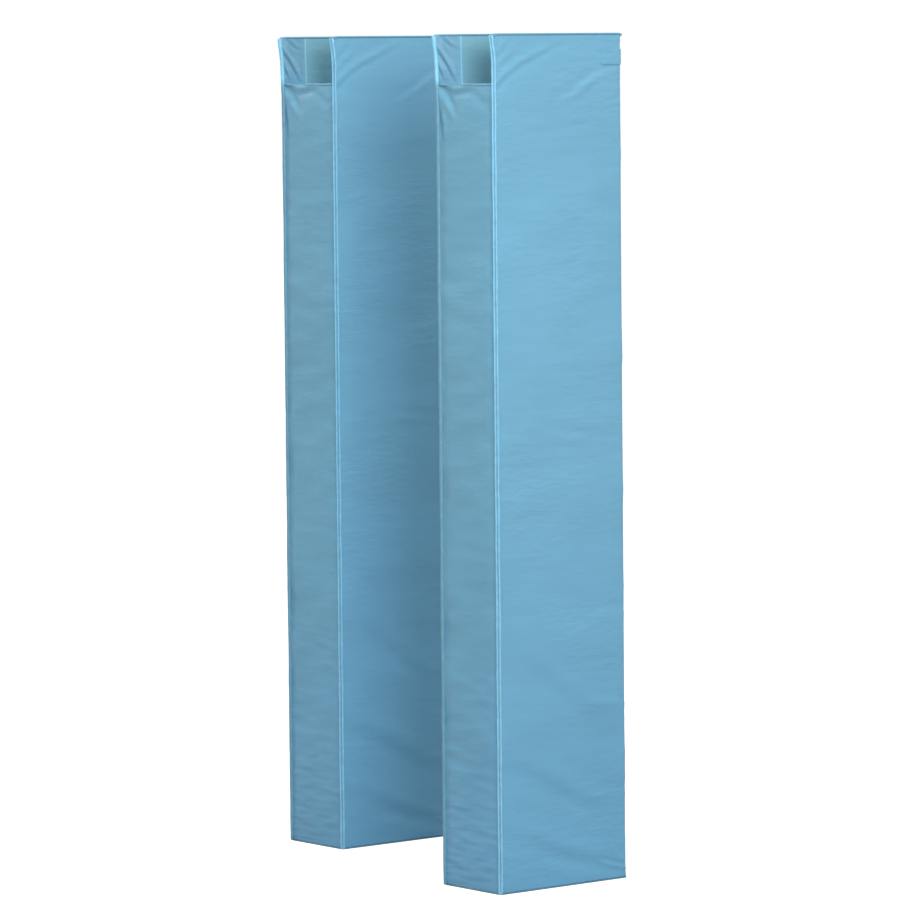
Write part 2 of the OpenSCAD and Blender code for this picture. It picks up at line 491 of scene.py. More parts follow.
def lean(piece, side):
    """Above the notch a left wing leans outward a little, most at its front."""
    if side == "right":
        return
    _, y, z = points_of(piece).T
    rise = ease((z - (NOSE_H - 90 * MM)) / (PAD_H - NOSE_H + 90 * MM))
    front = 1 - ease((y - 60 * MM) / (200 * MM))
    push(piece, 5.5 * MM * rise * front, (SIDES[side], 0, 0))


def flare(piece, reach):
    """Above the notch, a wing's front corner is drawn forward to the ear of its hem."""
    x, y, z = points_of(piece).T
    rise = ease((z - (NOSE_H + 30 * MM)) / (PAD_H - NOSE_H - 30 * MM)) ** 1.5
    corner = np.hypot(np.abs(x) - HALF_W, y)
    push(piece, reach * rise * bell(corner, 0, 10 * MM), FRONT)


def mitre_folds(panel, side):
    """The loose vinyl on a wing's mitre above the notch: a soft bulge, crossed by three creases."""
    way = np.array((-SIDES[side] * MITRE_TURN, -MITRE_TURN, 0))
    _, y, z = points_of(panel).T
    rise = ease((z - NOSE_H - 10 * MM) / (30 * MM))
    top = 1 - 0.6 * ease((z - PAD_H + 35 * MM) / (30 * MM))
    bulge = rise * top * bell(y, 16 * MM, 13 * MM)
    push(panel, 2.5 * MM * bulge * facing(panel, way, 0.5), way)
    creases = [
        ([(2, 82), (10, 62), (19, 40), (27, 14)], 4.2, 3.2),
        ([(1, 50), (6, 34), (12, 12)], 3.2, 2.4),
        ([(14, 96), (24, 84), (33, 80)], 3.6, 2.0),
    ]
    for marks, width, height in creases:
        path = [(SIDES[side] * (HALF_W - deep * MM), deep * MM, NOSE_H + up * MM) for deep, up in marks]
        fold(panel, path, way, width * MM, height * MM, 0.9, 0.6, 0.3)


def mark_lining(panel, inward, bevel=None):
    """Unwraps a new slab: inward faces at the right of the square, and a bevel's faces, where painted
    shade goes, at its top.
    """
    marks = []
    for face in panel.data.polygons:
        inside = float(face.normal @ inward > 0.8)
        on_bevel = float(bevel is not None and face.normal @ bevel > 0.9)
        marks += [inside, on_bevel] * face.loop_total
    panel.data.uv_layers.active.data.foreach_set("uv", marks)


def add_wing_panel(side):
    """A wing's foam board in its vinyl cover."""
    low_z, high_z = HEM_H, PAD_H - HEM_H
    columns = round(WING_W[side] / GRID)
    rows = round((high_z - low_z) / GRID)
    panel = add_wing_slab(f"{side}_wing_panel", side, low_z, high_z, 0, columns, rows)
    out = (SIDES[side], 0, 0)
    within = (-SIDES[side], 0, 0)
    mark_lining(panel, Vector(within), Vector((within[0], -1, 0)).normalized())
    x, y, z = points_of(panel).T
    behind_mitre = y - (HALF_W - np.abs(x))
    from_rim = np.minimum(z - low_z, high_z - z)
    from_rear = WING_W[side] - y
    free = ease(from_rim / RIM_FADE) * ease((from_rear - REAR_HELD) / (45 * MM))
    free = free * ease(behind_mitre / RIM_FADE) * (behind_mitre >= 1 * MM)
    free[from_rear < REAR_HELD] = 0
    by_tail = bell(z, (TOP_STRAP_LOW.z + TOP_STRAP_HIGH.z) / 2, 32 * MM, 4)
    by_tail = by_tail * ease((90 * MM - from_rear) / (30 * MM))
    crease_rims(panel, low_z, high_z)
    fill_cover(panel, free * (1 - by_tail))
    refine(panel)

    def in_folds(face):
        middle = face.calc_center_median()
        outside = face.normal.x * SIDES[side] > 0.8
        if middle.z > NOSE_H and face.normal.y < -0.3:
            return True
        return outside and (middle.z > PAD_H - 170 * MM or middle.z < 100 * MM)

    refine_where(panel, in_folds)
    drag_folds(panel, side)
    sag_at_foot(panel, side)
    crinkles(panel, out, 0.02, 1.80, 3.2 * MM, (0.10, 0.16, 0.10), 23)
    crinkles(panel, within, 0.02, 1.80, 3.2 * MM, (0.10, 0.16, 0.10), 27)
    crinkles(panel, out, 0.88, 1.02, 0.9 * MM, (0.10, 0.06, 0.014), 5)
    crinkles(panel, out, 0.02, 0.85, 0.4 * MM, (0.10, 0.09, 0.026), 9)
    crinkles(panel, out, 0.60, 1.80, 0.8 * MM, (0.10, 0.11, 0.035), 13)
    crinkles(panel, within, 0.05, 1.75, 0.8 * MM, (0.10, 0.09, 0.03), 17)
    puckers(panel, out, 1, 0, 22 * MM, 0.9 * MM, (0.1, 0.12, 0.011), 41)
    puckers(panel, out, 1, WING_W[side], 26 * MM, 1.0 * MM, (0.1, 0.12, 0.019), 43)
    puckers(panel, within, 1, PANEL_T, 30 * MM, 0.8 * MM, (0.1, 0.12, 0.014), 47)
    for level, height in [(low_z, 0.25 * MM), (high_z, 0.5 * MM)]:
        puckers(panel, out, 2, level, 14 * MM, height, (0.1, 0.013, 0.12), 51)
        puckers(panel, within, 2, level, 14 * MM, 0.7 * MM, (0.1, 0.013, 0.12), 53)
    mitre_folds(panel, side)
    flare(panel, 9 * MM)
    lean(panel, side)
    smooth(panel, 60)
    return panel


def nose_folds(panel):
    """The pulls on the nose: from its far upper corner, and level creases near its foot."""
    pulls = [
        ([(-90, 4), (-66, 22), (-44, 46), (-26, 72)], 10, -3.2, 1.0, 0.0),
        ([(-60, 3), (-36, 12), (-8, 8), (30, 2)], 8, 2.6, 0.7, 0.3),
        ([(20, 6), (50, 18), (72, 40)], 10, 1.3, 0.4, 0.0),
        ([(-88, 36), (-76, 74), (-68, 120)], 9, 2.3, 0.7, 0.0),
        ([(-88, 1473), (-20, 1476), (70, 1474)], 6, 1.1, 0.7, 0.4),
        ([(-20, 1520), (30, 1500), (84, 1497)], 7, 1.2, 0.3, 0.6),
        ([(-85, 1545), (-10, 1548)], 6, 0.8, 0.8, 0.0),
    ]
    for path, width, height, start, end in pulls:
        fold(panel, nose_path(*path), FRONT, width * MM, height * MM, 0.8, start, end)
    for step in range(13):
        below = NOSE_H / MM - 14 - 14.5 * step
        sway = 4 * math.sin(2.3 * step)
        far = 25 + 50 * math.sin(1.7 * step)
        path = nose_path((-90, below), (0.5 * (far - 90), below + sway), (far, below - 0.6 * sway))
        fold(panel, path, FRONT, 3.2 * MM, (0.9 - 0.05 * step) * MM, 0.9, 0.7, 0.0)
    crinkles(panel, FRONT, 0.01, 0.19, 1.5 * MM, (0.05, 0.06, 0.0125), 2)
    crinkles(panel, FRONT, 0.15, 0.60, 1.9 * MM, (0.08, 0.06, 0.016), 6)
    crinkles(panel, FRONT, 0.60, 1.65, 1.8 * MM, (0.09, 0.06, 0.03), 8)
    crinkles(panel, FRONT, 0.02, 1.70, 2.4 * MM, (0.09, 0.06, 0.10), 12)
    for way in (-1, 1):
        edge = way * (HALF_W - 5 * MM)
        puckers(panel, FRONT, 0, edge, 16 * MM, 1.0 * MM, (0.12, 0.1, 0.011), 61 + way)
    puckers(panel, FRONT, 2, NOSE_H, 12 * MM, 0.7 * MM, (0.013, 0.1, 0.12), 67)


def add_nose_panel():
    """The nose's foam board in its vinyl cover."""
    low_z, high_z = HEM_H, NOSE_H - HEM_H
    columns = round(2 * HALF_W / NOSE_GRID)
    rows = round((high_z - low_z) / NOSE_GRID)
    panel = add_nose_slab("nose_panel", low_z, high_z, 0, columns, rows)
    mark_lining(panel, -FRONT)
    x, y, z = points_of(panel).T
    from_rim = np.minimum(z - low_z, high_z - z)
    from_mitre = HALF_W - mitre_y(y) - np.abs(x)
    free = ease(from_rim / RIM_FADE) * ease((from_mitre - 3 * MM) / (24 * MM))
    crease_rims(panel, low_z, high_z)
    fill_cover(panel, free)
    refine(panel)

    def in_folds(face):
        middle = face.calc_center_median()
        return face.normal.y < -0.8 and (middle.z > NOSE_H - 130 * MM or middle.z < 210 * MM)

    refine_where(panel, in_folds)
    nose_folds(panel)
    smooth(panel, 60)
    return panel


# ---------------------------------------------------------------- hems, welts and seams

HEM_ROLL = 1.5 * MM


def roll_rims(hem, low_z, high_z):
    """Rounds a hem's upper and lower edges, all the way round."""
    start_editing(hem)
    round_edges(hem, lambda edge: lies_at(edge, low_z, high_z) and borders_flat(edge, 2), HEM_ROLL, 3)
    stop_editing()


def wander(piece, height, size, seed):
    """Small unevenness, as hand-fed sewing has."""
    points = points_of(piece)
    push(piece, height * grain(points, (size, size, size), seed), (1, 0, 0))
    push(piece, height * grain(points, (size, size, size), seed + 20), REAR)


def follow_wing_hem(piece, side):
    """The small unevenness and the lean that a wing's hems and their stitches share."""
    wander(piece, 0.35 * MM, 0.05, 11 + 3 * SIDES[side])
    lean(piece, side)


def follow_nose_hem(piece):
    """The small unevenness that the nose's hems and their stitches share."""
    wander(piece, 0.3 * MM, 0.05, 31)


def add_wing_hem(side, place):
    """The rolled hem along a wing's top or bottom edge. The top one has a pinched front ear."""
    low_z, high_z = (PAD_H - HEM_H, PAD_H) if place == "top" else (0, HEM_H)
    columns = round(WING_W[side] / (12 * MM))
    hem = add_wing_slab(f"{side}_wing_{place}_hem", side, low_z, high_z, HEM_OVER, columns, 1)
    if place == "top":
        outer = SIDES[side] * (HALF_W + HEM_OVER)
        tip = mitre_y(-HEM_OVER)
        start_editing(hem)
        pick(hem, "VERT", lambda v: at(v.co.x, outer) and at(v.co.y, tip))
        bpy.ops.transform.translate(value=(0, -EAR_L - tip, 0))
        stop_editing()
    roll_rims(hem, low_z, high_z)
    if place == "top":
        x, y, z = points_of(hem).T
        outermost = ease((np.abs(x) - HALF_W + 12 * MM) / (10 * MM))
        corner = ease(1 - (y + EAR_L) / (14 * MM)) * outermost
        under = (high_z - z) / (high_z - low_z)
        push(hem, -5.0 * MM * corner * under, UP)
        push(hem, -1.0 * MM * corner, UP)
        rear = ease((y - WING_W[side] + 12 * MM) / (12 * MM))
        push(hem, 2.5 * MM * rear, REAR)
        push(hem, -1.5 * MM * rear * (1 + under), UP)
    follow_wing_hem(hem, side)
    smooth(hem)
    return hem


def add_nose_hem(place):
    """The rolled hem along the nose's top or bottom edge."""
    low_z, high_z = (NOSE_H - HEM_H, NOSE_H) if place == "top" else (0, HEM_H)
    hem = add_nose_slab(f"nose_{place}_hem", low_z, high_z, HEM_OVER, 16, 1)
    roll_rims(hem, low_z, high_z)
    if place == "top":
        aside = points_of(hem)[:, 0]
        push(hem, -2.5 * MM * bell(aside, -40 * MM, 30 * MM), UP)
        push(hem, -1.2 * MM * bell(aside, 45 * MM, 20 * MM), UP)
    follow_nose_hem(hem)
    smooth(hem)
    return hem


def add_rod(name, place, radius, low_z, high_z, sides, step, turn=0):
    """An upright round cord with rounded ends, cut into steps."""
    clear_selection()
    bpy.ops.mesh.primitive_cylinder_add(
        vertices=sides,
        radius=radius,
        depth=high_z - low_z,
        location=(*place, (low_z + high_z) / 2),
        rotation=(0, 0, math.radians(turn)),
    )
    rod = name_piece(bpy.context.object, name)
    settle_place(rod)
    start_editing(rod)
    cut_across(rod, 2, round((high_z - low_z) / step))
    round_edges(rod, lambda edge: lies_at(edge, low_z, high_z), 0.55 * radius, 2)
    stop_editing()
    return rod


# The sewn welt is fuller than its core. Its groove reaches some degrees each way from the diagonal,
# and takes a share of the radius.

WELT_FULL = 1.45 * WELT_R
GROOVE_HALF = 30
GROOVE_DEPTH = 0.7


def add_welt(side):
    """The seam down an outer front corner: two rolled edges with a sewn groove between them."""
    name = f"{side}_corner_welt"
    place = (SIDES[side] * HALF_W, 0)
    welt = add_rod(name, place, WELT_FULL, WELT_LOW.z, WELT_HIGH.z, 36, 4 * MM, 45 * SIDES[side])
    points = points_of(welt)
    spoke = (points - np.array((*place, 0))) * np.array((1, 1, 0))
    diagonal = np.array((SIDES[side] * MITRE_TURN, -MITRE_TURN, 0))
    off_diagonal = np.degrees(np.arccos(np.clip(spoke @ diagonal / WELT_FULL, -1, 1)))
    groove = bell(off_diagonal, 0, GROOVE_HALF, 4)
    fuller = 0.06 * grain(points, (1, 1, 0.035), 4) + 0.14 * grain(points, (1, 1, 0.0055), 14)
    push(welt, fuller - GROOVE_DEPTH * groove, spoke)
    wander(welt, 0.6 * MM, 0.07, 5 + SIDES[side])
    flare(welt, 8 * MM)
    lean(welt, side)
    smooth(welt, 60)
    return welt


def add_inner_seam(side):
    """The sewn bead behind a wing's inner corner."""
    place = (SIDES[side] * (HALF_W - PANEL_T), (SEAM_LOW.y + SEAM_HIGH.y) / 2)
    name = f"{side}_inner_seam"
    bead = add_rod(name, place, SEAM_R, SEAM_LOW.z, SEAM_HIGH.z, 10, 12 * MM)
    lean(bead, side)
    smooth(bead, 60)
    return bead


# ---------------------------------------------------------------- straps and their tapes

STRAP_EDGE = 0.45 * MM
STRAP_END_R = 6 * MM


def add_strap(place):
    """A strap across the open back, with a round free end, bowed a little between the wings."""
    low, high = local_box(f"{place}_strap")

    def on_end_corner(edge):
        at_end = all(at(v.co.x, low.x) for v in edge.verts)
        return runs_along(edge, 1) and at_end and lies_at(edge, low.z, high.z)

    def on_face_rim(edge):
        return not runs_along(edge, 1) and len(edge.link_faces) == 2 and borders_flat(edge, 1)

    strap = add_block(f"{place}_strap", low, high)
    start_editing(strap)
    cut_across(strap, 0, 36)
    cut_across(strap, 2, 6)
    round_edges(strap, on_end_corner, STRAP_END_R, 4)
    round_edges(strap, on_face_rim, STRAP_EDGE, 2)
    stop_editing()
    x, _, z = points_of(strap).T
    inner = HALF_W - PANEL_T - 6 * MM
    bow = np.clip(1 - (x / inner) ** 2, 0, 1) ** 2
    dish = np.cos((z - (low.z + high.z) / 2) / (high.z - low.z) * np.pi)
    push(strap, 1.6 * MM * bow, REAR)
    push(strap, 0.25 * MM * bow * dish, REAR)
    smooth(strap)
    return strap


def add_patch(name, low, high, columns, rows):
    """A thin patch of tape that stands on a face square to y, with softened edges."""
    patch = add_block(name, low, high)
    start_editing(patch)
    cut_across(patch, 0, columns)
    cut_across(patch, 2, rows)
    round_edges(patch, lambda edge: runs_along(edge, 1), 1.2 * MM, 3)
    stop_editing()
    smooth(patch)
    return patch


def join_all(pieces, name):
    """Joins pieces into one."""
    clear_selection()
    for piece in pieces:
        piece.select_set(True)
    bpy.context.view_layer.objects.active = pieces[0]
    bpy.ops.object.join()
    return name_piece(bpy.context.object, name)


def add_hook_tape(place):
    """The hook tape on a strap's inner face."""
    low, high = local_box(f"{place}_hook_tape")
    return add_patch(f"{place}_hook_tape", low, high, 8, 10)


def add_loop_patches():
    """The three loop patches on the left wing's rear end."""
    low, high = local_box("loop_patches")
    margin = high.z - local_box("top_hook_tape")[1].z
    patches = []
    for place in STRAPS:
        tape_low, tape_high = local_box(f"{place}_hook_tape")
        corner = (low.x, low.y, tape_low.z - margin)
        far = (high.x, high.y, tape_high.z + margin)
        patches.append(add_patch(f"{place}_loop_patch", corner, far, 6, 10))
    return join_all(patches, "loop_patches")


# ---------------------------------------------------------------- the straps' sewn tails

STRAP_T = TOP_STRAP_HIGH.y - TOP_STRAP_LOW.y
SEAT = TOP_STRAP_LOW.y - WING_W["right"]
TAILS_FRONT = local_box("strap_tails")[0].y
HINGE_CLEAR = STRAP_T / 2 + 0.5 * MM


def sharp(edge):
    """True for an edge between two faces that turn well away from each other."""
    return edge.is_manifold and edge.calc_face_angle() > 1


def add_outer_tail():
    """The top strap's tail: flat on the wing's outer face, then bent round its rear corner."""
    face = HALF_W + SEAT
    bend = WING_W["right"] - END_R
    low = (face, TAILS_FRONT, TOP_STRAP_LOW.z)
    tail = add_block("outer_tail", low, (face + STRAP_T, bend, TOP_STRAP_HIGH.z))
    inner_r = END_R + SEAT
    turn = math.pi / 2 - 2 * math.asin(HINGE_CLEAR / (2 * inner_r))
    start_editing(tail)
    cut_across(tail, 1, 14)
    cut_across(tail, 2, 8)
    pick(tail, "FACE", lambda f: f.normal.y > 0.9)
    middle = (HALF_W - END_R, bend, 0)
    bpy.ops.mesh.spin(steps=8, angle=-turn, center=middle, axis=(0, 0, 1))
    round_edges(tail, sharp, STRAP_EDGE, 2)
    stop_editing()
    smooth(tail)
    return tail


def add_end_tail(place):
    """A lower strap's tail, flat on the wing's rear end."""
    low, high = local_box(f"{place}_strap")
    last = HALF_W - END_R
    first = high.x - STRAP_T / 2 + HINGE_CLEAR
    tail = add_block(f"{place}_tail", (first, low.y, low.z), (last, low.y + STRAP_T, high.z))
    start_editing(tail)
    cut_across(tail, 0, 5)
    cut_across(tail, 2, 8)
    round_edges(tail, sharp, STRAP_EDGE, 2)
    stop_editing()
    smooth(tail)
    return tail


# ---------------------------------------------------------------- stitches

THREAD_R = 0.4 * MM
STITCH_STEP = 4.2 * MM
STITCH_L = 3.1 * MM


def sew(name, start, end, out):
    """A straight row of stitches on a surface that looks towards out."""
    start, end, out = Vector(start), Vector(end), Vector(out)
    run = end - start
    count = max(2, round(run.length / STITCH_STEP))
    step = run / count
    middle = start + step / 2
    along = run.normalized()
    clear_selection()
    bpy.ops.mesh.primitive_cylinder_add(
        vertices=6,
        radius=THREAD_R,
        depth=STITCH_L,
        location=middle,
        rotation=run.to_track_quat("Z", "Y").to_euler(),
    )
    stitch = name_piece(bpy.context.object, name)
    settle_place(stitch)
    start_editing(stitch)
    pick(stitch, "EDGE", lambda edge: abs((edge.verts[1].co - edge.verts[0].co) @ along) > THREAD_R)
    bpy.ops.mesh.subdivide(number_cuts=2)
    for way in (-1, 1):
        tip = middle + way * along * STITCH_L / 2
        pick(stitch, "VERT", lambda v: abs((v.co - tip) @ along) < NEAR)
        bpy.ops.transform.resize(value=(0.6, 0.6, 0.6), center_override=tip)
        bpy.ops.transform.translate(value=-0.55 * THREAD_R * out)
    stop_editing()
    row = stitch.modifiers.new("row", "ARRAY")
    row.count = count
    row.use_relative_offset = False
    row.use_constant_offset = True
    row.constant_offset_displace = step
    bpy.ops.object.modifier_apply(modifier="row")
    smooth(stitch, 60)
    return stitch


def sew_box(name, corners, out):
    """A stitched box through four corners."""
    sides = zip(corners, corners[1:] + corners[:1])
    rows = [sew(name, start, end, out) for start, end in sides]
    return join_all(rows, name)


def add_tail_stitching():
    """The stitched box on each strap's tail."""
    boxes = []
    inset = TOP_STRAP_HIGH.z - local_box("tail_stitching")[1].z + THREAD_R
    face = HALF_W + SEAT + STRAP_T
    rear = WING_W["right"] + SEAT + STRAP_T
    for place in STRAPS:
        low, high = local_box(f"{place}_strap")
        under, over = low.z + inset, high.z - inset
        if place == "top":
            out = (1, 0, 0)
            ends = [(face, TAILS_FRONT + inset), (face, WING_W["right"] - END_R - inset)]
        else:
            out = REAR
            left = high.x - STRAP_T / 2 + HINGE_CLEAR + inset
            ends = [(HALF_W - END_R - inset, rear), (left, rear)]
        corners = [(*end, under) for end in ends] + [(*end, over) for end in reversed(ends)]
        boxes.append(sew_box(f"{place}_box", corners, out))
    return join_all(boxes, "tail_stitching")


def add_wing_stitching(side):
    """The rows of stitches that close a wing's two hems, outside and inside."""
    way = SIDES[side]
    rear = WING_W[side] - END_R - 2 * MM
    rows = []
    for level in (HEM_H / 2, PAD_H - HEM_H / 2):
        outer = way * (HALF_W + HEM_OVER)
        inner = way * (HALF_W - PANEL_T - HEM_OVER)
        rows.append(sew("row", (outer, 5 * MM, level), (outer, rear, level), (way, 0, 0)))
        rows.append(sew("row", (inner, PANEL_T + 4 * MM, level), (inner, rear, level), (-way, 0, 0)))
    stitching = join_all(rows, f"{side}_hem_stitching")
    follow_wing_hem(stitching, side)
    return stitching


def add_nose_stitching():
    """The rows of stitches that close the nose's two hems, in front and behind."""
    rows = []
    front_end = HALF_W - WELT_R - 5 * MM
    back_end = HALF_W - PANEL_T - 4 * MM
    back = PANEL_T + HEM_OVER
    for level in (HEM_H / 2, NOSE_H - HEM_H / 2):
        ends = (-front_end, -HEM_OVER, level), (front_end, -HEM_OVER, level)
        rows.append(sew("row", *ends, FRONT))
        rows.append(sew("row", (-back_end, back, level), (back_end, back, level), REAR))
    stitching = join_all(rows, "nose_hem_stitching")
    follow_nose_hem(stitching)
    return stitching


# ---------------------------------------------------------------- finishes

THREADS_PER_METRE = 700
THREAD_WAVES = THREADS_PER_METRE / 3.14
# How high the painted floor shadow at a vinyl's foot reaches
FLOOR_SHADOW_H = 7 * MM
# Painted shade: the share of the colour kept on a wing's mitre bevel above the notch
BEVEL_SHADE = 0.72

# Painted light: how much brighter than an even blend the vinyl is at half its height

HALFWAY_PAINTED_LIGHT = (1.09, 1.045, 1.01)


def clear_nodes(owner):
    owner.use_nodes = True
    owner.node_tree.nodes.clear()
    return owner


def add_node(material, kind, *inputs, **settings):
    """A shader node. Its inputs and settings are plain values, or outputs that are wired to it."""
    node = material.node_tree.nodes.new(kind)
    for key, value in [*settings.items(), *enumerate(inputs)]:
        socket = node.inputs[key] if isinstance(key, int) else node.inputs.get(key.replace("_", " "))
        if socket is None:
            setattr(node, key, value)
        elif isinstance(value, bpy.types.NodeSocket):
            material.node_tree.links.new(value, socket)
        else:
            socket.default_value = value
    return node


def start_material(name):
    """A new material, and the coordinates for its patterns."""
    material = clear_nodes(bpy.data.materials.new(name))
    return material, add_node(material, "ShaderNodeTexCoord").outputs


def reckon(material, operation, *values):
    """The result of a sum with one or two values."""
    return add_node(material, "ShaderNodeMath", *values, operation=operation).outputs["Value"]


def parted(material, vector):
    """The three parts of a vector."""
    return add_node(material, "ShaderNodeSeparateXYZ", Vector=vector).outputs


def spread(material, value, least, most, start=0.0, stop=1.0):
    """Turns a value between start and stop into one between least and most."""
    node = add_node(
        material,
        "ShaderNodeMapRange",
        Value=value,
        From_Min=start,
        From_Max=stop,
        To_Min=least,
        To_Max=most,
    )
    return node.outputs["Result"]


def scaled(material, colour, amount):
    """A colour times an amount."""
    node = add_node(material, "ShaderNodeVectorMath", colour, operation="SCALE", Scale=amount)
    return node.outputs["Vector"]


def noise_on(material, coords, stretch, size, detail=3.0):
    """A noise texture on stretched object coordinates."""
    mapping = add_node(material, "ShaderNodeMapping", Vector=coords["Object"], Scale=stretch)
    place = mapping.outputs["Vector"]
    texture = add_node(material, "ShaderNodeTexNoise", Vector=place, Scale=size, Detail=detail)
    return texture.outputs["Fac"]


def ramp_on(material, value, *stops):
    """Blends colours by a value. Each stop is a place from 0 to 1 with its colour."""
    ramp = add_node(material, "ShaderNodeValToRGB", Fac=value)
    elements = ramp.color_ramp.elements
    for place, _ in stops[1:-1]:
        elements.new(place)
    for element, (place, colour) in zip(elements, stops):
        element.position = place
        element.color = (*colour, 1)
    return ramp.outputs["Color"]


def bump_on(material, height, distance, strength, below=None):
    """A bump from a height, on top of another bump."""
    bump = add_node(material, "ShaderNodeBump", Height=height, Distance=distance, Strength=strength)
    if below is not None:
        material.node_tree.links.new(below, bump.inputs["Normal"])
    return bump.outputs["Normal"]


def shaded(material, colour, roughness, relief, shine=0.5):
    """The finished material, from its colour, roughness and relief."""
    shader = add_node(
        material,
        "ShaderNodeBsdfPrincipled",
        Base_Color=colour,
        Roughness=roughness,
        Specular_IOR_Level=shine,
        Normal=relief,
    )
    add_node(material, "ShaderNodeOutputMaterial", Surface=shader.outputs["BSDF"])
    return material


def painted_light_by_height(material, coords, low, high, floor_shadow):
    """Painted light and shade by height: a blend from the foot colour to the top colour, a little brighter
    at half height, with a painted shadow where it meets the floor.
    """
    share = spread(material, parted(material, coords["Object"])["Z"], 0, 1, 0, PAD_H)
    floor_shadowed = [floor_shadow * value for value in low]
    halfway = [gain * (a + b) / 2 for gain, a, b in zip(HALFWAY_PAINTED_LIGHT, low, high)]
    return ramp_on(material, share, (0, floor_shadowed), (FLOOR_SHADOW_H / PAD_H, low), (0.5, halfway), (1, high))


def tinted(material, colour, texture, least, most):
    """A colour made lighter and darker by a texture."""
    return scaled(material, colour, spread(material, texture, least, most, 0.3, 0.7))


def lined(material, coords, colour, lining):
    """The colour outside, the greyer lining inside, and painted shade on the turned edge of a bevel."""
    marks = parted(material, coords["UV"])
    either = add_node(
        material, "ShaderNodeMixRGB", Fac=marks["X"], Color1=colour, Color2=(*lining, 1)
    )
    # Painted shade on the bevel's faces, which the UV's y marks
    painted_bevel_shade = spread(material, marks["Y"], 1, BEVEL_SHADE)
    return scaled(material, either.outputs["Color"], painted_bevel_shade)


def vinyl(name, top, foot, roughness, floor_shadow=1.0, lining=None, creasing=4.0 * MM):
    """Coated vinyl on a woven scrim: fine threads under the skin, soft crinkles and a satin shine."""
    material, coords = start_material(name)
    # Painted light and shade: the colour changes with height as light falls, with a painted shadow at the
    # floor.
    colour = painted_light_by_height(material, coords, foot, top, floor_shadow)
    if lining:
        colour = lined(material, coords, colour, lining)
    clouds = noise_on(material, coords, (1, 1, 1.4), 3.2, 4)
    colour = tinted(material, colour, clouds, 0.965, 1.035)
    streaks = noise_on(material, coords, (1, 1, 7), 9, 5)
    colour = tinted(material, colour, streaks, 0.975, 1.025)
    worn = noise_on(material, coords, (1, 1, 2), 14, 4)
    dullness = spread(material, worn, roughness - 0.07, roughness + 0.07)
    creases = noise_on(material, coords, (1, 1, 3.5), 24, 1.6)
    patches = noise_on(material, coords, (1, 1, 1), 5, 2)
    strong = spread(material, patches, 0.2, 1, 0.4, 0.65)
    relief = bump_on(material, reckon(material, "MULTIPLY", creases, strong), creasing, 0.5)
    ripples = noise_on(material, coords, (1, 1, 1), 90, 3)
    relief = bump_on(material, ripples, 0.3 * MM, 0.5, relief)
    for axis in ("X", "Y", "Z"):
        threads = add_node(
            material,
            "ShaderNodeTexWave",
            bands_direction=axis,
            Vector=coords["Object"],
            Scale=THREAD_WAVES,
            Distortion=0.6,
            Detail=1,
        )
        relief = bump_on(material, threads.outputs["Fac"], 0.05 * MM, 0.35, relief)
    skin = noise_on(material, coords, (1, 1, 1), 700, 2)
    relief = bump_on(material, skin, 0.08 * MM, 0.4, relief)
    return shaded(material, colour, dullness, relief, 0.28)


def piping(name, bead, groove, roughness, shade_beside_nose=1.0):
    """A welt's vinyl: painted highlights on its two rolled edges, painted shade in the groove between
    them, and on the far welts painted shade on the part beside the nose.
    """
    material, coords = start_material(name)
    from_middle = reckon(material, "SUBTRACT", parted(material, coords["UV"])["X"], 0.5)
    away = reckon(material, "ABSOLUTE", from_middle)
    # Painted highlight and shade: the bead colour paints a highlight on each rolled edge, and the groove
    # colour paints shade between them.
    edges = (0.7 * GROOVE_HALF / 360, groove), (1.1 * GROOVE_HALF / 360, bead)
    gathers = noise_on(material, coords, (1, 1, 1), 70, 3)
    # The gathers' tone follows their bump, as painted shade in the low places and painted light on the
    # high ones.
    colour = tinted(material, ramp_on(material, away, *edges), gathers, 0.9, 1.08)
    height = parted(material, coords["Object"])["Z"]
    # Painted shade on the part beside the nose, below its top: the welt's colour is scaled there by the
    # given share.
    above = spread(material, height, shade_beside_nose, 1, NOSE_H - 10 * MM, NOSE_H + 10 * MM)
    relief = bump_on(material, gathers, 1.0 * MM, 0.5)
    return shaded(material, scaled(material, colour, above), roughness, relief)


def thread(name, colour):
    """Sewing thread: fine twisted strands, with painted shade in the hollows between them."""
    material, coords = start_material(name)
    strands = noise_on(material, coords, (1, 1, 1), 2600, 2)
    # Painted shade: the strands' low places are painted deeper.
    hollow_shade = [0.75 * value for value in colour]
    tone = ramp_on(material, strands, (0.3, hollow_shade), (0.7, colour))
    return shaded(material, tone, 0.55, bump_on(material, strands, 0.1 * MM, 0.4))


def tape(name, colour, size, roughness):
    """Hook or loop tape: a pile of fine points, with painted shade in the pile's hollows."""
    material, coords = start_material(name)
    points = add_node(material, "ShaderNodeTexVoronoi", Vector=coords["Object"], Scale=size)
    pile = points.outputs["Distance"]
    # Painted shade: the pile's low places are painted deeper.
    hollow_shade = [0.6 * value for value in colour]
    tone = ramp_on(material, pile, (0, hollow_shade), (0.6, colour))
    return shaded(material, tone, roughness, bump_on(material, pile, 0.6 * MM, 0.8))


LINING = (0.205, 0.435, 0.530)
# Painted light and shade: each vinyl's top and foot colours paint light and shade that change with height.
# The number after its roughness sets the painted floor shadow at its foot, where 1 is none.
VINYL = vinyl("vinyl", (0.171, 0.420, 0.594), (0.150, 0.408, 0.620), 0.40, 1.0, LINING)
NOSE_VINYL = vinyl("nose_vinyl", (0.175, 0.430, 0.596), (0.147, 0.398, 0.606), 0.40, 1.0, LINING, 2.0 * MM)
# Painted shade: the wing hems' vinyl is painted deeper than the panels', most at the top, for the shade
# along the hem edges. Its foot also takes a painted floor shadow.
SHADED_HEM_VINYL = vinyl("vinyl_trim", (0.130, 0.335, 0.480), (0.125, 0.350, 0.530), 0.42, 0.3)
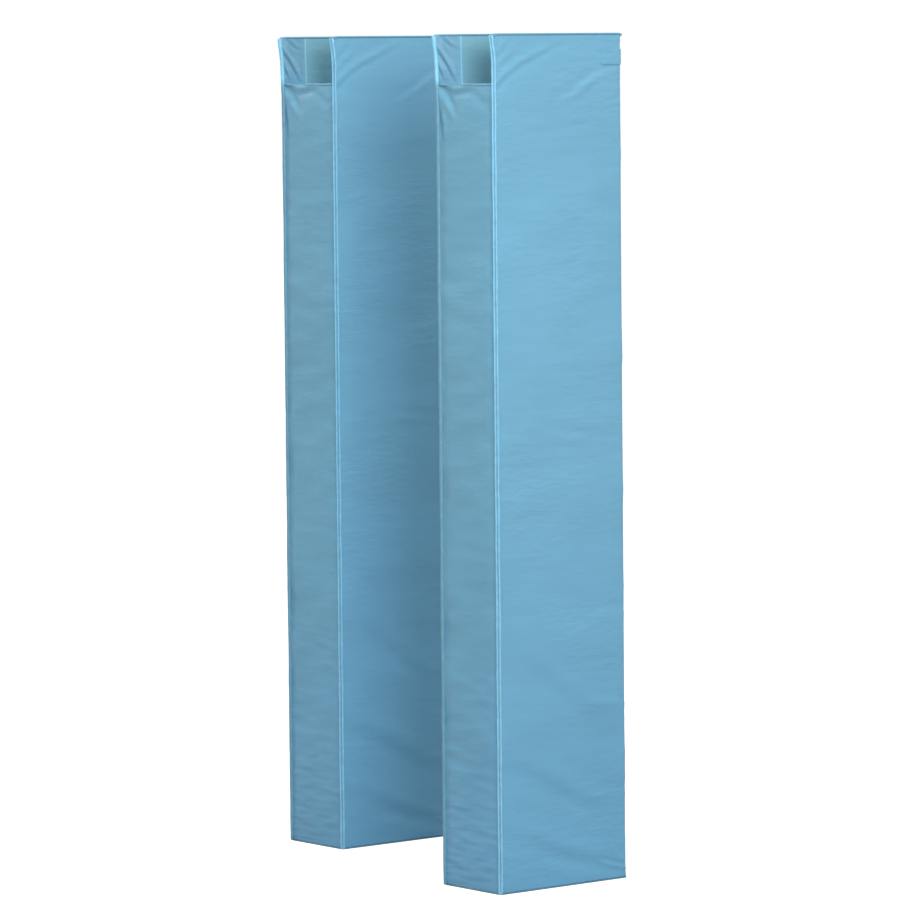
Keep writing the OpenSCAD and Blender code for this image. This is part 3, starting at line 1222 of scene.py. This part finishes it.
# Painted light and shade: the lit welts carry painted highlights and groove shade. The far welts are a
# copy with painted shade beside the nose, and the inner seams use the lit one.
LIT_WELT_PIPING = piping("welt", (0.255, 0.605, 0.825), (0.150, 0.400, 0.580), 0.30)
SHADED_WELT_PIPING = piping("shaded_welt", (0.255, 0.605, 0.825), (0.150, 0.400, 0.580), 0.45, 0.53)
# Painted shadow: this vinyl's foot, on the nose's bottom hem, is painted almost black where it meets the
# floor.
STRAP_VINYL = vinyl("strap_vinyl", (0.170, 0.418, 0.592), (0.140, 0.390, 0.570), 0.42, 0.05)
HOOK = tape("hook_tape", (0.12, 0.27, 0.39), 900, 0.7)
LOOP = tape("loop_tape", (0.14, 0.30, 0.42), 1300, 0.95)
THREAD = thread("thread", (0.19, 0.45, 0.62))


# ---------------------------------------------------------------- putting the pieces together

# The share of a cover that its foam fills

FOAM_FILL = 0.85


def copy_to(piece, pad, material, body, nodes):
    """A copy of a piece in its place on a pad, riding on its body and standing for its nodes."""
    choose(piece)
    bpy.ops.object.duplicate()
    copied = name_piece(bpy.context.object, f"{pad}_{piece.name}")
    copied.location = place_of(pad)
    settle_place(copied)
    copied.data.materials.clear()
    copied.data.materials.append(material)
    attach(copied, body)
    if nodes:
        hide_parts(*[f"{pad}_{node}" for node in nodes])
    return copied


def dress():
    """Makes every piece once and copies it to both pads."""
    models = []

    def model(piece, material, body, nodes, slot, fill=None):
        models.append((piece, material, body, nodes, slot, fill))

    model(add_nose_panel(), NOSE_VINYL, "noses", ["nose_cover", "nose_foam"], "vinyl", FOAM_FILL)
    for place in ["top", "bottom"]:
        model(add_nose_hem(place), STRAP_VINYL, "noses", [f"nose_{place}_hem"], "vinyl_trim")
    for side in SIDES:
        wing = f"{side}_wing"
        model(add_wing_panel(side), VINYL, wing, [f"{wing}_cover", f"{wing}_foam"], "vinyl", FOAM_FILL)
        for place in ["top", "bottom"]:
            model(add_wing_hem(side, place), SHADED_HEM_VINYL, wing, [f"{wing}_{place}_hem"], "vinyl_trim")
        # The far welts take the copy with painted shade.
        piped = LIT_WELT_PIPING if side == "right" else SHADED_WELT_PIPING
        model(add_welt(side), piped, wing, [f"{side}_corner_welt"], "welt")
        model(add_inner_seam(side), LIT_WELT_PIPING, wing, [f"{side}_inner_seam"], "welt")
        model(add_wing_stitching(side), THREAD, wing, [], "thread")
    model(add_nose_stitching(), THREAD, "noses", [], "thread")
    tails = join_all([add_outer_tail(), add_end_tail("middle"), add_end_tail("bottom")], "strap_tails")
    model(tails, STRAP_VINYL, "right_wing", ["strap_tails"], "vinyl_trim")
    model(add_tail_stitching(), THREAD, "right_wing", ["tail_stitching"], "thread")
    model(add_loop_patches(), LOOP, "left_wing", ["loop_patches"], "loop_tape")
    for place in STRAPS:
        closure = f"{place}_closure"
        model(add_strap(place), STRAP_VINYL, closure, [f"{place}_strap"], "vinyl_trim")
        model(add_hook_tape(place), HOOK, closure, [f"{place}_hook_tape"], "hook_tape")
    for pad in PADS:
        for piece, material, body, nodes, slot, fill in models:
            own_body = body if body == "noses" else f"{pad}_{body}"
            copy_to(piece, pad, material, own_body, nodes)
    for piece, *_ in models:
        bpy.data.objects.remove(piece)


dress()


# ---------------------------------------------------------------- studio

CAMERA_PLACE = (8.851, -7.145, 1.78)
CAMERA_TILT = 4.36
CAMERA_TURN = 51.1
CAMERA_ROLL = -0.54
CAMERA_LENS = 206.1


def add_camera():
    data = bpy.data.cameras.new("camera")
    data.lens = CAMERA_LENS
    data.sensor_width = 36
    data.clip_end = 200
    camera = bpy.data.objects.new("camera", data)
    bpy.context.scene.collection.objects.link(camera)
    turn = Euler((math.radians(90 - CAMERA_TILT), 0, math.radians(CAMERA_TURN)))
    roll = Matrix.Rotation(math.radians(CAMERA_ROLL), 4, "Z")
    camera.matrix_world = Matrix.Translation(CAMERA_PLACE) @ turn.to_matrix().to_4x4() @ roll
    bpy.context.scene.camera = camera


def add_softbox(name, place, aim, size, power):
    data = bpy.data.lights.new(name, "AREA")
    data.shape = "RECTANGLE"
    data.size, data.size_y = size
    data.energy = power
    lamp = bpy.data.objects.new(name, data)
    bpy.context.scene.collection.objects.link(lamp)
    lamp.location = place
    lamp.rotation_euler = (Vector(aim) - Vector(place)).to_track_quat("-Z", "Y").to_euler()


def seen_directly(material):
    """1 for a ray that comes straight from the camera or off something glossy."""
    ray = add_node(material, "ShaderNodeLightPath").outputs
    most = reckon(material, "MAXIMUM", ray["Is Camera Ray"], ray["Is Glossy Ray"])
    return reckon(material, "MAXIMUM", most, ray["Is Transmission Ray"])


def add_floor():
    clear_selection()
    bpy.ops.mesh.primitive_circle_add(vertices=96, radius=60, fill_type="NGON")
    floor = name_piece(bpy.context.object, "floor")
    material = clear_nodes(bpy.data.materials.new("floor"))
    paint = add_node(material, "ShaderNodeBsdfDiffuse", Color=(0.35, 0.35, 0.35, 1))
    lift = reckon(material, "MULTIPLY", seen_directly(material), 0.95)
    glow = add_node(material, "ShaderNodeEmission", Color=(1, 1, 1, 1), Strength=lift)
    both = add_node(material, "ShaderNodeAddShader", paint.outputs["BSDF"], glow.outputs["Emission"])
    add_node(material, "ShaderNodeOutputMaterial", Surface=both.outputs["Shader"])
    floor.data.materials.append(material)


def light_the_room():
    world = clear_nodes(bpy.data.worlds.new("studio"))
    bpy.context.scene.world = world
    sky = add_node(world, "ShaderNodeBackground", Color=(1, 1, 1, 1), Strength=0.44)
    white = add_node(world, "ShaderNodeBackground", Color=(1, 1, 1, 1), Strength=1)
    backs = (sky.outputs["Background"], white.outputs["Background"])
    choice = add_node(world, "ShaderNodeMixShader", seen_directly(world), *backs)
    add_node(world, "ShaderNodeOutputWorld", Surface=choice.outputs["Shader"])
    middle = (0, 0, 1.1)
    add_softbox("high_light", (1.91, -1.91, 4.32), middle, (1.4, 1.2), 44)
    add_softbox("side_light", (3.58, -1.67, 2.54), middle, (1.4, 1.4), 90)
    add_softbox("edge_light", (-3.58, -0.63, 3.2), middle, (1.0, 2.0), 72)
    add_softbox("back_light", (-1.2, 4.2, 2.6), middle, (1.6, 1.6), 40)
    add_softbox("top_light", (0.0, -0.06, 4.7), middle, (2.0, 2.0), 35)


add_camera()
add_floor()
light_the_room()
bpy.context.scene.view_settings.view_transform = "Standard"
